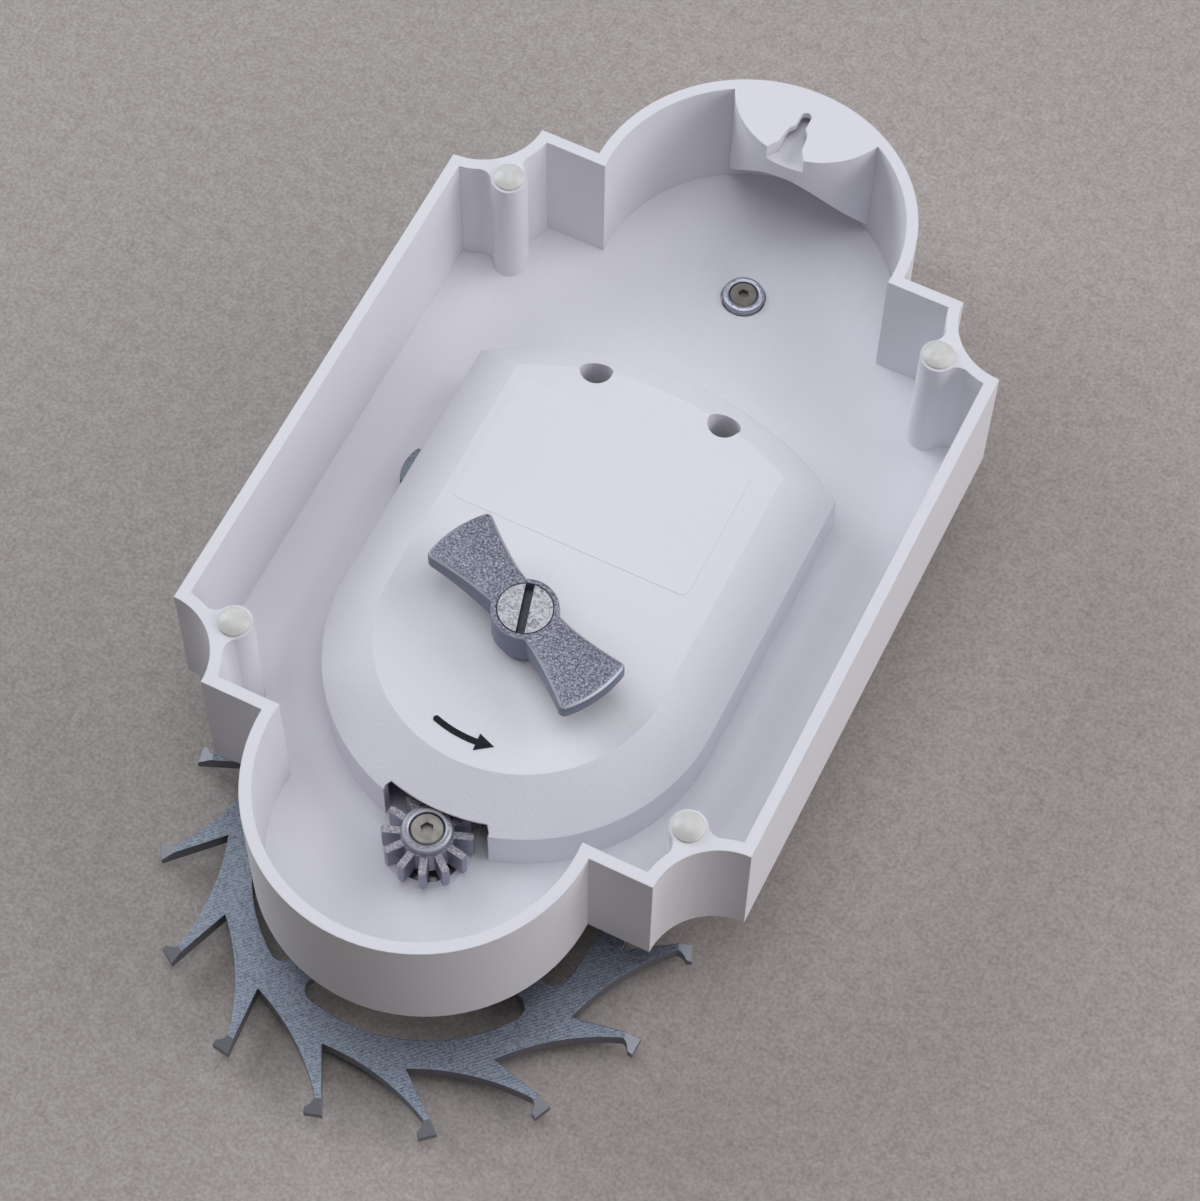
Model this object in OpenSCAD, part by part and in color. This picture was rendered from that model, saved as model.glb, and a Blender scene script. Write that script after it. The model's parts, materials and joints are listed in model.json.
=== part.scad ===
// Demonstration model of a Swiss lever escapement, lying on its front with the open back of its case up.
// Millimetres. Z runs up from the front of the model to the back of the case, Y runs up the case to its hanger.

/* [Case] */
// Width of the case across its straight sides
case_w = 150; // [140:1:165]
// Distance along the case between the escape arbor and the balance arbor
arbor_span = 176; // [172:1:186]
// Radius of the round bow at each end of the case
bow_r = 42.2; // [41:0.1:46]
// Radius of the hollow scallop at each corner of the case
scallop_r = 16.7; // [14:0.1:18]
// Thickness of the case wall
wall_t = 3; // [2.4:0.1:3.6]
// Depth from the back rim down to the floor of the case
case_depth = 37.3; // [36:0.1:44]
// Thickness of the front plate under the floor
plate_t = 3; // [2.6:0.1:4]
// Radius of the four posts in the corners
post_r = 4.6; // [4.4:0.1:5.4]
// Radius of the fillet between each post and the wall
post_fillet = 3.6; // [2:0.1:5]

/* [Hanger] */
// Radius of the round hanger block behind the top bow
hanger_r = 21.8; // [19:0.1:23]
// Height of the hanger block at its front edge
hanger_h = 9.7; // [8.5:0.1:11]
// Width of the narrow end of the hanging slot
slot_w = 2.7; // [2.4:0.1:3.2]
// Depth of the hanging slot below the rim
slot_depth = 4.7; // [4.2:0.1:6]
// Radius of the room for a screw head behind the lip of the slot
slot_head_r = 3.2; // [2.9:0.1:3.6]

/* [Feet] */
// Diameter of the clear domed feet on the posts
foot_d = 7.8; // [6:0.1:8.4]
// Height of the clear domed feet
foot_h = 2.2; // [1.6:0.1:3]

/* [Spring cover] */
// Half width of the cover, and radius of its round lower end
cover_r = 49.3; // [48:0.1:51]
// Radius of the top edge of the cover, measured from the winding arbor
cover_top_r = 87.4; // [86.5:0.1:88.5]
// Height of the cover above the floor
cover_h = 22.1; // [21.6:0.1:24]
// Height of the upright wall below the wide bevel
cover_wall_h = 13.2; // [12:0.1:14]
// Width of the wide bevel
bevel_w = 12.7; // [11:0.1:14]
// Width of the bevel along the top edge
top_bevel_w = 10.6; // [10:0.1:11.5]
// Thickness of the cover
cover_t = 2.2; // [1.8:0.1:2.4]
// Radius of each screw well in the cover
well_r = 4.2; // [4:0.1:4.4]
// Width of the stuck-on label
label_w = 63.5; // [50:0.5:66]
// Height of the stuck-on label
label_h = 38.1; // [30:0.1:40]

/* [Train] */
// Distance of the winding arbor from the escape arbor
train_dist = 51.45; // [51:0.05:52]
// Thickness of the great wheel
great_t = 6; // [5.6:0.1:6.2]
// Length of the pinion leaves
leaf_h = 7.7; // [7:0.1:8]
// Turn of the pinion about its arbor, in degrees
pinion_turn = 20.8; // [0:0.1:30]

/* [Winding] */
// Radius of the winding arbor
arbor_r = 6.6; // [6.2:0.1:6.9]
// Length of the winding key from tip to tip
key_len = 56; // [50:1:62]
// Width of the winding key at its tips
key_tip_w = 21; // [17:0.5:24]
// Width of the winding key beside its hub
key_waist_w = 10.4; // [9:0.2:12]
// Radius of the round hub of the key
key_hub_r = 8.2; // [8:0.1:8.6]
// Angle of the key across the case, in degrees
key_turn = -25.5; // [-90:0.5:90]
// Number of turns of the mainspring
mainspring_turns = 6; // [5:1:7]

/* [Escape wheel] */
// Radius to the locking corners of the escape teeth
lock_r = 65.5; // [63:0.1:66.5]
// Thickness of the escape wheel
escape_t = 4; // [3.6:0.1:4.4]
// Angle of one locking corner about the escape arbor, in degrees
lock_turn = 226.8; // [216:0.1:240]
// Open space between the escape wheel and the front plate
wheel_gap = 10.1; // [9.8:0.1:12]

/* [Lever and balance] */
// Swing of the lever to each side, in degrees
lever_swing = 5; // [3:0.5:6]
// Thickness of the lever
lever_t = 4.5; // [4:0.1:4.8]
// Outside radius of the balance wheel
balance_r = 40.5; // [36:0.5:41]
// Radius of the impulse pin circle
impulse_r = 16; // [14:0.5:17]
// Number of turns of the hairspring
hairspring_turns = 5; // [4:1:6]

/* [Hidden] */
$fn = 96;

// Numbers of teeth
great_teeth = 54;
pinion_leaves = 12;
escape_teeth = 15;

// Clearances
run_fit = 0.05;
gap = 0.3;
overlap = 0.02;
// How far a fillet circle cuts past the line it rounds off
fillet_cut = 0.06;

// Screws of four millimetres: a broad low head in the escape pinion, smaller ones elsewhere
screw_r = 2;
head_r = 4.15;
head_h = 2.4;
hex_af = 3;
head_fit = 0.15;
small_head_r = 3.7;
small_hex_af = 2.5;
screw_sink = 0.3;

// Heights, from the front of the model upwards
front_clear = 4;
z_wheel = front_clear;
z_wheel_back = z_wheel + escape_t;
z_plate = z_wheel_back + wheel_gap;
z_floor = z_plate + plate_t;
z_rim = z_floor + case_depth;
z_lever = z_wheel - 1.5;
z_lever_back = z_lever + lever_t;
z_cover_top = z_floor + cover_h;

// Places of the arbors along the case, before the part is moved onto its origin
y_escape = -arbor_span / 2;
y_balance = arbor_span / 2;
y_wind = y_escape + train_dist;
heel_r = lock_r + 1.1;
heel_step = 3.8;
pallet_dist = heel_r / cos(30);
y_pallet = y_escape + pallet_dist;

// The origin sits under the middle of the whole part
tooth_step = 360 / escape_teeth;
heel_ys = [for (k = [0:escape_teeth - 1]) heel_r * sin(lock_turn - heel_step + k * tooth_step)];
lock_ys = [for (k = [0:escape_teeth - 1]) lock_r * sin(lock_turn + k * tooth_step)];
y_low = y_escape + min(min(heel_ys), min(lock_ys));
y_high = y_balance + bow_r;
y_mid = (y_low + y_high) / 2;

// Bearings: the escape bearing is six by seventeen, the balance bearing four by thirteen
escape_bear_r = 8.5;
escape_bear_bore = 3;
escape_bear_h = 6;
escape_ball_r = 1.5;
z_escape_bear = z_floor + 0.5 - escape_bear_h;
balance_bear_r = 6.5;
balance_bear_bore = screw_r;
balance_bear_h = 5;
balance_ball_r = 1;
z_balance_bear = z_floor - 1.1 - balance_bear_h;

// Great wheel and pinion
gear_module = 2 * train_dist / (great_teeth + pinion_leaves);
great_pitch_r = gear_module * great_teeth / 2;
pinion_pitch_r = gear_module * pinion_leaves / 2;
pinion_tip_r = 11.1;
great_tip_r = great_pitch_r + 1.1;
pinion_root_r = 6.4;
great_root_r = train_dist - pinion_tip_r - 0.5;
leaf_t = 1.9;
z_leaf = z_floor + 2.6;
z_pinion_top = z_leaf + leaf_h + 2.6;
z_great = z_leaf + (leaf_h - great_t) / 2;
z_great_top = z_great + great_t;
pocket_depth = 3.2;
z_pocket = z_great_top - pocket_depth;
pinion_lead = ((90 - pinion_turn) / (360 / pinion_leaves)
               - floor((90 - pinion_turn) / (360 / pinion_leaves))) * (360 / pinion_leaves);
great_turn = 270 + pinion_lead * pinion_leaves / great_teeth + 180 / great_teeth;

// Winding work
journal_r = 4;
z_arbor_top = z_rim - 1;
ratchet_r = 16;
ratchet_teeth = 16;
ratchet_h = pocket_depth - 2 * gap;
z_ratchet = z_pocket + gap;
click_pivot_r = 24;
click_pin_r = 1.5;
click_tip_turn = 40;
click_turn = 20;

// Mainspring and its anchor
spring_t = 0.6;
z_spring = z_great_top + gap;
spring_h = 6;
spring_in_r = arbor_r + 1.5;
spring_out_r = 30;
anchor_x = -37;
anchor_y = y_wind + 39.55;
foot_y = anchor_y - 3.4;
foot_w = 10;
foot_round_r = 11;
foot_reach = 52.3;

// Lever, rollers and balance
z_fork_top = z_lever + 1.8;
z_roller_low = z_fork_top + 1.9;
roller_t = 1.4;
z_balance = z_roller_low + roller_t;
balance_arm_t = 4;
z_hairspring = z_balance + balance_arm_t + 0.6;
hairspring_h = 2;
staff_r = 3.2;
roller_r = impulse_r + 3;
safety_r = 10;
fork_reach = arbor_span - pallet_dist - impulse_r;
post_shoulder_r = 3;
banking_y = y_pallet + 31;
arm_half_w = 4;
banking_r = 2.5;
banking_x = arm_half_w / cos(lever_swing) + 31 * tan(lever_swing) + banking_r + gap;
stone_w = 5;
stone_l = 15;
stone_h = 2;
stone_bite = 0.7;

// Colours
white = [0.86, 0.86, 0.89];
silver = [0.55, 0.57, 0.63];
steel = [0.62, 0.61, 0.58];
dark = [0.08, 0.08, 0.09];
ruby = [0.6, 0.05, 0.12];
clear = [0.9, 0.88, 0.8, 0.6];

// Shared shapes

module placed() {
    translate([0, -y_mid, 0]) children();
}

module ring(outer, inner, h) {
    difference() {
        cylinder(r = outer, h = h);
        translate([0, 0, -1]) cylinder(r = inner, h = h + 2);
    }
}

// A screw head with a hexagon socket, its shank hanging below zero
module socket_screw(length, top_r, socket_af) {
    difference() {
        union() {
            cylinder(r = top_r, h = head_h - 0.4);
            translate([0, 0, head_h - 0.4]) cylinder(r1 = top_r, r2 = top_r - 0.4, h = 0.4);
            translate([0, 0, -length]) cylinder(r = screw_r, h = length + overlap);
        }
        translate([0, 0, head_h - 1.5]) cylinder(r = socket_af / 2 / cos(30), h = 2, $fn = 6);
    }
}

// One race of a ball bearing, with its groove
module bearing_race(outer, inner, h, pitch_r, ball_r) {
    difference() {
        ring(outer, inner, h);
        translate([0, 0, h / 2])
            rotate_extrude() translate([pitch_r, 0]) circle(r = ball_r + run_fit);
    }
}

module bearing_balls(count, h, pitch_r, ball_r) {
    for (k = [0:count - 1])
        rotate([0, 0, k * 360 / count]) translate([pitch_r, 0, h / 2]) sphere(r = ball_r);
}

// A flat spiral strip as a list of points, out along one side and back along the other
function spiral(r_fun, turn_fun, steps, t) = concat(
    [for (i = [0:steps]) (r_fun(i / steps) - t / 2) * [cos(turn_fun(i / steps)), sin(turn_fun(i / steps))]],
    [for (i = [steps:-1:0]) (r_fun(i / steps) + t / 2) * [cos(turn_fun(i / steps)), sin(turn_fun(i / steps))]]);

// Involute angle in degrees at a radius
function involute(base_r, r) = r <= base_r ? 0 : tan(acos(base_r / r)) * 180 / PI - acos(base_r / r);

// Case

// Outline of the case, moved inwards by an inset
module case_outline(inset) {
    difference() {
        square([case_w - 2 * inset, arbor_span - 2 * inset], center = true);
        for (sx = [-1, 1], sy = [-1, 1])
            translate([sx * case_w / 2, sy * arbor_span / 2]) circle(r = scallop_r + inset);
    }
    for (sy = [-1, 1])
        translate([0, sy * arbor_span / 2]) circle(r = bow_r - inset);
}

// Front plate with a bevelled front edge that follows the outline
module front_plate() {
    half_x = case_w / 2;
    half_y = arbor_span / 2;
    difference() {
        intersection() {
            rotate([90, 0, 0]) translate([0, 0, -half_y]) linear_extrude(arbor_span)
                polygon([[-half_x + plate_t, 0], [half_x - plate_t, 0], [half_x, plate_t], [-half_x, plate_t]]);
            rotate([90, 0, 90]) translate([0, 0, -half_x]) linear_extrude(case_w)
                polygon([[-half_y + plate_t, 0], [half_y - plate_t, 0], [half_y, plate_t], [-half_y, plate_t]]);
        }
        for (sx = [-1, 1], sy = [-1, 1])
            translate([sx * half_x, sy * half_y, 0]) cylinder(r1 = scallop_r + plate_t, r2 = scallop_r, h = plate_t);
    }
    for (sy = [-1, 1])
        translate([0, sy * half_y, 0]) cylinder(r1 = bow_r - plate_t, r2 = bow_r, h = plate_t);
}

// Middle of a corner post, set back from the scallop along its diagonal
post_reach = scallop_r + wall_t + post_r - 0.9;
post_x = case_w / 2 - post_reach * cos(47);
post_y = arbor_span / 2 - post_reach * sin(47);

// One corner post in plan, filleted into the scalloped wall
module post_plan() {
    corner = [case_w / 2, arbor_span / 2];
    post = [post_x, post_y];
    wall_r = scallop_r + wall_t;
    side_a = wall_r + post_fillet;
    side_b = post_r + post_fillet;
    bend = acos((side_a * side_a + post_reach * post_reach - side_b * side_b) / (2 * side_a * post_reach));
    base = atan2(post[1] - corner[1], post[0] - corner[0]);
    translate(post) circle(r = post_r);
    for (s = [-1, 1]) {
        fillet = corner + side_a * [cos(base + s * bend), sin(base + s * bend)];
        near = corner + (scallop_r + wall_t / 2) * [cos(base + s * bend), sin(base + s * bend)];
        mid = corner + (scallop_r + wall_t / 2) * [cos(base), sin(base)];
        difference() {
            polygon([mid, near, fillet, post]);
            translate(fillet) circle(r = post_fillet + fillet_cut);
        }
    }
}

// Round hanger block, its underside a cone about the balance arbor that runs down into the wall
module hanger_block() {
    lean = 1.33;
    front_r = bow_r - hanger_r;
    z_front = z_rim - hanger_h;
    difference() {
        translate([0, 0, z_floor]) linear_extrude(case_depth) intersection() {
            translate([0, y_balance + bow_r]) circle(r = hanger_r);
            translate([0, y_balance]) circle(r = bow_r - wall_t / 2);
        }
        translate([0, y_balance, z_floor - 1])
            cylinder(r1 = front_r + (z_front - z_floor + 1) / lean, r2 = front_r - 1, h = z_front - z_floor + 1 + lean);
    }
}

// Hanging slot: a flared mouth, a wide part and a narrow round end, with room behind its lip for a screw head
module hanger_slot() {
    front_y = y_balance + bow_r - hanger_r;
    wide_y = front_y + 6.7;
    end_y = front_y + 14.7 - slot_w / 2;
    lip_t = 2;
    half = [[6.2, front_y - 1], [3.2, front_y + 3.6], [2.95, wide_y], [2.55, front_y + 8.6],
            [slot_w / 2, front_y + 10], [slot_w / 2, end_y]];
    translate([0, 0, z_rim - slot_depth]) linear_extrude(slot_depth + 1) {
        translate([0, end_y]) circle(r = slot_w / 2 + 0.03);
        polygon(concat(half, [for (k = [len(half) - 1:-1:0]) [-half[k][0], half[k][1]]]));
    }
    translate([0, 0, z_rim - slot_depth]) linear_extrude(slot_depth - lip_t) {
        translate([0, end_y]) circle(r = slot_head_r + 0.03);
        translate([-slot_head_r, wide_y]) square([2 * slot_head_r, end_y - wide_y]);
    }
}

cover_screws_x = [-18.3, 16.9];
cover_screw_r = cover_top_r - top_bevel_w + 0.4;
cover_screw_y = y_wind + sqrt(pow(cover_screw_r, 2) - pow(17.6, 2));

module case_shell() {
    color(white) placed() difference() {
        union() {
            translate([0, 0, z_floor - overlap]) linear_extrude(case_depth + overlap) difference() {
                case_outline(0);
                case_outline(wall_t);
            }
            translate([0, 0, z_plate]) front_plate();
            translate([0, 0, z_floor - overlap]) linear_extrude(case_depth + overlap)
                for (mx = [0, 1], my = [0, 1]) mirror([mx, 0]) mirror([0, my]) post_plan();
            hanger_block();
            // Raised seat for the escape bearing, and bosses behind the plate
            translate([0, y_escape, z_plate]) cylinder(r = escape_bear_r + 1.7, h = z_floor + 0.8 - z_plate);
            translate([0, y_escape, z_escape_bear - 1.5]) cylinder(r = escape_bear_r + 2, h = 6);
            translate([0, y_balance, z_balance_bear - 0.4]) cylinder(r = balance_bear_r + 2, h = 4.5);
            translate([0, y_wind, z_plate - 3.5]) cylinder(r = 8, h = 4.5);
            translate([0, y_wind, z_plate]) cylinder(r = arbor_r + 3, h = z_great - gap - z_plate);
            translate([0, y_pallet, z_lever_back + 1.5]) cylinder(r = 7, h = z_plate - z_lever_back - 0.5);
            for (x = cover_screws_x)
                translate([x, cover_screw_y, z_plate - 3]) cylinder(r = 5, h = 4);
        }
        hanger_slot();
        translate([0, y_escape, z_escape_bear]) cylinder(r = escape_bear_r, h = 20);
        translate([0, y_escape, 0]) cylinder(r = escape_bear_bore + 2.5, h = z_floor);
        translate([0, y_balance, 0]) cylinder(r = balance_bear_r, h = z_balance_bear + balance_bear_h);
        translate([0, y_balance, 0]) cylinder(r = 5.9, h = z_rim);
        translate([0, y_wind, z_plate - 2.5]) cylinder(r = journal_r + run_fit, h = 20);
        translate([0, y_wind, z_floor]) cylinder(r = arbor_r + 0.4, h = 20);
        translate([0, y_pallet, 0]) cylinder(r = screw_r, h = z_floor - 1);
        for (x = cover_screws_x)
            translate([x, cover_screw_y, z_plate - 2]) cylinder(r = screw_r, h = 20);
        for (sx = [-1, 1])
            translate([sx * banking_x, banking_y, 0]) cylinder(r = banking_r, h = z_plate + 1.9);
        translate(hairspring_stud_at()) translate([-2.5, -2.5, 0]) cube([5, 5, stud_h]);
    }
}

// Clear domed feet stuck to the corner posts
module bumper_feet() {
    foot_r = foot_d / 2;
    flat_r = 1.2;
    dome_h = foot_h - 0.8;
    color(clear) placed()
        for (sx = [-1, 1], sy = [-1, 1]) translate([sx * post_x, sy * post_y, z_rim]) intersection() {
            cylinder(r = foot_r, h = foot_h);
            translate([0, 0, 0.8 + dome_h - sqrt(dome_top_sq(foot_r, dome_h, flat_r))])
                sphere(r = dome_ball(foot_r, dome_h, flat_r));
        }
}

// Ball that passes through the foot's edge and through the rim of its small flat top
function dome_drop(foot_r, dome_h, flat_r) = (foot_r * foot_r - flat_r * flat_r - dome_h * dome_h) / (2 * dome_h);
function dome_ball(foot_r, dome_h, flat_r) = sqrt(foot_r * foot_r + pow(dome_drop(foot_r, dome_h, flat_r), 2));
function dome_top_sq(foot_r, dome_h, flat_r) = pow(dome_drop(foot_r, dome_h, flat_r) + dome_h, 2);

// Spring cover

// Solid form of the cover: upright wall, wide bevel and flat top
module cover_form(half_w, top_r, wall_h, inset_w, top_inset_w, total_h) {
    rise = total_h - wall_h;
    side = top_r + 5;
    // Upright part
    linear_extrude(wall_h + overlap) {
        circle(r = half_w);
        intersection() {
            translate([-half_w, 0]) square([2 * half_w, side]);
            circle(r = top_r);
        }
    }
    // Bevel round the lower end
    translate([0, 0, wall_h]) cylinder(r1 = half_w, r2 = half_w - inset_w, h = rise);
    // Bevel along the sides and the top
    translate([0, 0, wall_h]) intersection() {
        rotate([90, 0, 0]) translate([0, 0, -side]) linear_extrude(side)
            polygon([[-half_w, 0], [half_w, 0], [half_w - inset_w, rise], [-half_w + inset_w, rise]]);
        cylinder(r1 = top_r, r2 = top_r - top_inset_w, h = rise);
    }
}

module spring_cover() {
    lean = atan((cover_h - cover_wall_h) / bevel_w);
    slope = (cover_h - cover_wall_h) / bevel_w;
    in_wall_h = cover_wall_h + cover_t * slope - cover_t / cos(lean);
    in_h = cover_h - cover_t;
    in_bevel_w = (in_h - in_wall_h) / slope;
    in_top_bevel_w = in_bevel_w * top_bevel_w / bevel_w;
    notch_half = 13.8;
    notch_top = cover_wall_h + 1.6;
    notch_corner = 1.1;
    notch_from = cover_r - 9.3;
    color(white) placed() difference() {
        union() {
            translate([0, y_wind, z_floor]) difference() {
                cover_form(cover_r, cover_top_r, cover_wall_h, bevel_w, top_bevel_w, cover_h);
                translate([0, 0, -overlap])
                    cover_form(cover_r - cover_t, cover_top_r - cover_t, in_wall_h, in_bevel_w,
                               in_top_bevel_w, in_h);
            }
            // Screw wells
            for (x = cover_screws_x) translate([x, cover_screw_y, z_floor]) intersection() {
                cylinder(r = well_r + 1.8, h = cover_h);
                translate([-x, y_wind - cover_screw_y, 0])
                    cover_form(cover_r, cover_top_r, cover_wall_h, bevel_w, top_bevel_w, cover_h);
            }
        }
        // Screw wells, open at the top
        for (x = cover_screws_x) translate([x, cover_screw_y, z_floor]) {
            translate([0, 0, 3.5]) cylinder(r = well_r, h = cover_h);
            translate([0, 0, -1]) cylinder(r = screw_r + 0.25, h = cover_h);
        }
        // Hole for the winding arbor
        translate([0, y_wind, z_floor]) cylinder(r = arbor_r + run_fit, h = cover_h + 1);
        // Notch over the escape pinion, with a level ceiling just above the foot of the bevel
        translate([0, y_wind - notch_from, z_floor]) rotate([90, 0, 0]) linear_extrude(cover_r - notch_from + 1)
            polygon([[-notch_half, -1], [notch_half, -1], [notch_half, notch_top - notch_corner],
                     [notch_half - notch_corner, notch_top], [-notch_half + notch_corner, notch_top],
                     [-notch_half, notch_top - notch_corner]]);
        // Opening in the left wall for the foot of the spring anchor
        translate([-cover_r - 1, foot_y - foot_w / 2 - gap, z_floor - 1])
            cube([cover_t + 4, foot_w + 2 * gap, 10 + gap + 1]);
    }
}

module cover_screws() {
    color(steel) placed() for (x = cover_screws_x)
        translate([x, cover_screw_y, z_floor + 3.5]) socket_screw(3.5 + plate_t + 2, small_head_r, small_hex_af);
}

module blank_label() {
    corner_r = 2;
    color("whitesmoke") placed() translate([-2.2, y_wind + 45.75, z_cover_top]) linear_extrude(0.12) {
        square([label_w - 2 * corner_r, label_h], center = true);
        square([label_w, label_h - 2 * corner_r], center = true);
        for (sx = [-1, 1], sy = [-1, 1])
            translate([sx * (label_w / 2 - corner_r), sy * (label_h / 2 - corner_r)]) circle(r = corner_r);
    }
}

// Curved arrow that shows the way to wind
module winding_arrow() {
    arc_r = 30.3;
    stroke = 1.6;
    head_w = 4.6;
    head_l = 4;
    from = 253;
    to = 275;
    color("black") placed() translate([0, y_wind, z_cover_top]) linear_extrude(0.2) {
        intersection() {
            difference() {
                circle(r = arc_r + stroke / 2);
                circle(r = arc_r - stroke / 2);
            }
            polygon([[0, 0], 2 * arc_r * [cos(from), sin(from)], 2 * arc_r * [cos(to), sin(to)]]);
        }
        // Round tail
        rotate([0, 0, from]) translate([arc_r, 0]) circle(r = stroke / 2 + 0.03);
        rotate([0, 0, to]) translate([arc_r, 0])
            polygon([[-head_w / 2, -0.3], [head_w / 2, -0.3], [-0.3, head_l]]);
    }
}

// Bracket on the floor that holds the outer end of the mainspring, its foot outside the cover
module spring_anchor() {
    color(silver) placed() difference() {
        union() {
            intersection() {
                translate([-54, foot_y - foot_w / 2, z_floor]) cube([54 + anchor_x - 0.4, foot_w, 10]);
                translate([foot_round_r - foot_reach, foot_y, z_floor]) cylinder(r = foot_round_r, h = 10);
            }
            translate([anchor_x - 4, anchor_y - 5.5, z_floor])
                cube([3.6, 11, z_spring + spring_h - 0.8 - z_floor]);
        }
        mainspring_form();
    }
}

// Open mainspring: even turns round the arbor, then a long sweep out to the anchor
module mainspring_form() {
    reach = sqrt(anchor_x * anchor_x + pow(anchor_y - y_wind, 2));
    end_turn = atan2(anchor_y - y_wind, anchor_x);
    sweep = 360 * (mainspring_turns + 0.5);
    flare = 82 / sweep;
    r_fun = function (u) spring_in_r + (spring_out_r - spring_in_r) * u
                         + (reach - spring_out_r) * pow(max(0, (u - 1 + flare) / flare), 1.5);
    turn_fun = function (u) end_turn + sweep * (1 - u);
    translate([0, y_wind, z_spring]) linear_extrude(spring_h)
        polygon(spiral(r_fun, turn_fun, 40 * mainspring_turns, spring_t));
}

module mainspring() {
    color([0.22, 0.25, 0.33]) placed() mainspring_form();
}

// Bearings

escape_pitch_r = (escape_bear_r + escape_bear_bore) / 2;
balance_pitch_r = (balance_bear_r + balance_bear_bore) / 2;

module escape_bearing_outer() {
    color(steel) placed() translate([0, y_escape, z_escape_bear])
        bearing_race(escape_bear_r, escape_pitch_r + 1, escape_bear_h, escape_pitch_r, escape_ball_r);
}

module escape_bearing_inner() {
    color(steel) placed() translate([0, y_escape, z_escape_bear])
        bearing_race(escape_pitch_r - 1, escape_bear_bore, escape_bear_h, escape_pitch_r, escape_ball_r);
}

// Black seals, one at each face of the bearing
module escape_bearing_seal() {
    color(dark) placed() for (z = [0.2, escape_bear_h - 0.7])
        translate([0, y_escape, z_escape_bear + z]) ring(escape_pitch_r + 1, escape_pitch_r - 1 + gap, 0.5);
}

module escape_bearing_balls() {
    color("silver") placed() translate([0, y_escape, z_escape_bear])
        bearing_balls(8, escape_bear_h, escape_pitch_r, escape_ball_r);
}

module balance_bearing_outer() {
    color(steel) placed() translate([0, y_balance, z_balance_bear])
        bearing_race(balance_bear_r, balance_pitch_r + 0.7, balance_bear_h, balance_pitch_r, balance_ball_r);
}

module balance_bearing_inner() {
    color(steel) placed() translate([0, y_balance, z_balance_bear])
        bearing_race(balance_pitch_r - 0.7, balance_bear_bore, balance_bear_h, balance_pitch_r, balance_ball_r);
}

module balance_bearing_balls() {
    color("silver") placed() translate([0, y_balance, z_balance_bear])
        bearing_balls(8, balance_bear_h, balance_pitch_r, balance_ball_r);
}

// Escape wheel and its arbor

// Turns a point of the plan about the arbor
function turned(p, a) = [p[0] * cos(a) - p[1] * sin(a), p[0] * sin(a) + p[1] * cos(a)];

// Outline of one club tooth with its tip at angle zero: undercut front, sloped impulse face, hollow back
function club_tooth() =
    let (notch_r = lock_r * 0.767,
         front_turn = -7.9,
         neck_turn = -3.1,
         bow = 1.9,
         steps = 12,
         front_notch = turned([notch_r, 0], front_turn),
         back_notch = turned([notch_r, 0], front_turn - tooth_step),
         neck = turned([lock_r - 3.4, 0], neck_turn),
         chord = neck - back_notch,
         mid = (neck + back_notch) / 2,
         pull = mid + 2 * bow * [-chord[1], chord[0]] / norm(chord),
         under = turned([heel_r - 1.3, 0], -heel_step - 0.3),
         bend = neck + 1.5 * (neck - pull) / norm(neck - pull),
         bend_steps = 5)
    concat([front_notch, [lock_r, 0], turned([heel_r, 0], -heel_step)],
           [for (i = [bend_steps:-1:1]) let (u = i / bend_steps)
               (1 - u) * (1 - u) * neck + 2 * u * (1 - u) * bend + u * u * under],
           [for (i = [steps:-1:1]) let (u = i / steps)
               (1 - u) * (1 - u) * back_notch + 2 * u * (1 - u) * pull + u * u * neck]);

module escape_wheel() {
    rim_in_r = lock_r * 0.657;
    hub_r = 10;
    spokes = 4;
    spoke_w = 6.8;
    spoke_turn = 245.9;
    impulse = turned([heel_r, 0], -heel_step) - [lock_r, 0];
    facet_l = 3.4;
    facet_drop = escape_t / 2;
    color(silver) placed() translate([0, y_escape, z_wheel]) {
        difference() {
            linear_extrude(escape_t) {
                difference() {
                    polygon([for (k = [0:escape_teeth - 1], p = club_tooth())
                        turned(p, lock_turn - k * tooth_step)]);
                    circle(r = rim_in_r);
                }
                for (k = [0:spokes - 1]) rotate([0, 0, spoke_turn + k * 360 / spokes])
                    spoke_plan(hub_r - 1, rim_in_r + 1, spoke_w);
                circle(r = hub_r);
            }
            // Sloped facet at the back of each tooth end, along its impulse face
            for (k = [0:escape_teeth - 1]) rotate([0, 0, lock_turn - k * tooth_step])
                translate([lock_r, 0, 0]) rotate([0, 0, atan2(impulse[1], impulse[0])])
                    translate([-4, 0, 0]) rotate([90, 0, 90]) linear_extrude(norm(impulse) + 8)
                        polygon([[-facet_l - 1, escape_t + facet_drop / facet_l],
                                 [1, escape_t - facet_drop - facet_drop / facet_l],
                                 [1, escape_t + 1], [-facet_l - 1, escape_t + 1]]);
            translate([0, 0, -1]) cylinder(r = screw_r, h = escape_t + 2);
        }
        // Tall hub towards the plate
        translate([0, 0, escape_t - overlap]) ring(hub_r - 1, screw_r, wheel_gap - 4.4 + overlap);
    }
}

// A straight spoke with a fillet where it meets the rim
module spoke_plan(from_r, to_r, w) {
    fillet = 4;
    translate([from_r, -w / 2]) square([to_r - from_r, w]);
    for (s = [-1, 1]) difference() {
        translate([to_r - fillet - 1.5, s > 0 ? w / 2 - 0.1 : -w / 2 - fillet]) square([fillet + 1.5, fillet + 0.1]);
        translate([to_r - fillet - 1.5, s * (w / 2 + fillet - 2 * fillet_cut)]) circle(r = fillet);
    }
}

// Sleeve that carries the escape wheel in its bearing
module escape_sleeve() {
    z_low = z_wheel_back + wheel_gap - 4.4;
    color(steel) placed() translate([0, y_escape, 0]) {
        translate([0, 0, z_low]) ring(4.5, screw_r, z_escape_bear - z_low);
        translate([0, 0, z_escape_bear - overlap])
            ring(escape_bear_bore, screw_r, escape_bear_h + 1 + overlap);
    }
}

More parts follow.
